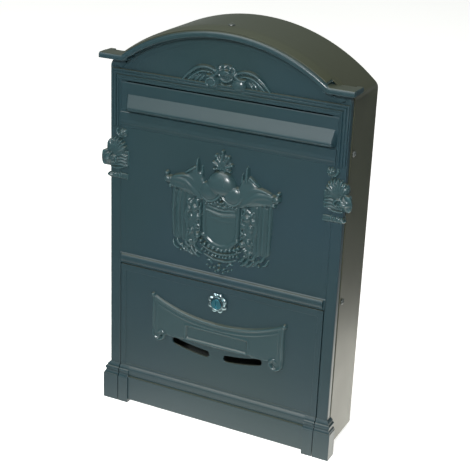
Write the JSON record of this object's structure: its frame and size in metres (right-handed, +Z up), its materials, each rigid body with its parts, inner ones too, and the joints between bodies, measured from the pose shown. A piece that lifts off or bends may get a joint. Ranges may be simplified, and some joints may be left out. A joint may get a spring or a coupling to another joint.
{
  "type": "wall mounted mailbox",
  "caption": "Wall mounted mailbox with a cast arched front, relief crest, lifting letter flap and lockable fold-down lower door on a sheet steel box.",
  "frame": {"origin": "on the outer face of the back panel, which lies on the wall, midway across and 200 mm above the underside of the feet", "axes": "+Y into the wall, so the front faces -Y; +Z up; +X to the right as seen from the front"},
  "size_m": [0.2668, 0.08, 0.4173],
  "materials": {
    "cast_paint": "satin slate blue-green powder coat on die cast aluminium",
    "sheet_paint": "satin dark grey-green powder coat on sheet steel",
    "chrome": "polished plate",
    "zinc": "zinc plated",
    "screw_paint": "painted over with the box"
  },
  "bodies": {
    "case": {"front_frame": "cast_paint", "body_wrap": "sheet_paint", "back_panel": "sheet_paint", "bottom_panel": "sheet_paint", "flap_rod": "zinc", "rod_clip_left": "zinc", "rod_clip_right": "zinc", "door_pin_left": "zinc", "door_pin_right": "zinc", "frame_screw_roof": "screw_paint", "frame_screw_left_upper": "screw_paint", "frame_screw_left_lower": "screw_paint", "frame_screw_right_upper": "screw_paint", "frame_screw_right_lower": "screw_paint"},
    "flap": {"mail_flap": "cast_paint"},
    "door": {"lower_door": "cast_paint", "lock_rosette": "chrome", "lock_body": "chrome", "lock_nut": "zinc"},
    "lock": {"lock_plug": "chrome", "lock_cam": "zinc", "cam_washer": "zinc", "cam_nut": "zinc"}
  },
  "joints": [
    {"name": "flap_hinge", "type": "hinge", "parent": "case", "child": "flap", "pos_m": [0, -0.0651, 0.1469], "axis": [-1, 0, 0], "range_deg": [0, 80]},
    {"name": "door_hinge", "type": "hinge", "parent": "case", "child": "door", "pos_m": [0, -0.069, -0.192], "axis": [1, 0, 0], "range_deg": [0, 90]},
    {"name": "lock_turn", "type": "hinge", "parent": "door", "child": "lock", "pos_m": [0, -0.064, -0.0605], "axis": [0, -1, 0], "range_deg": [0, 90]}
  ]
}
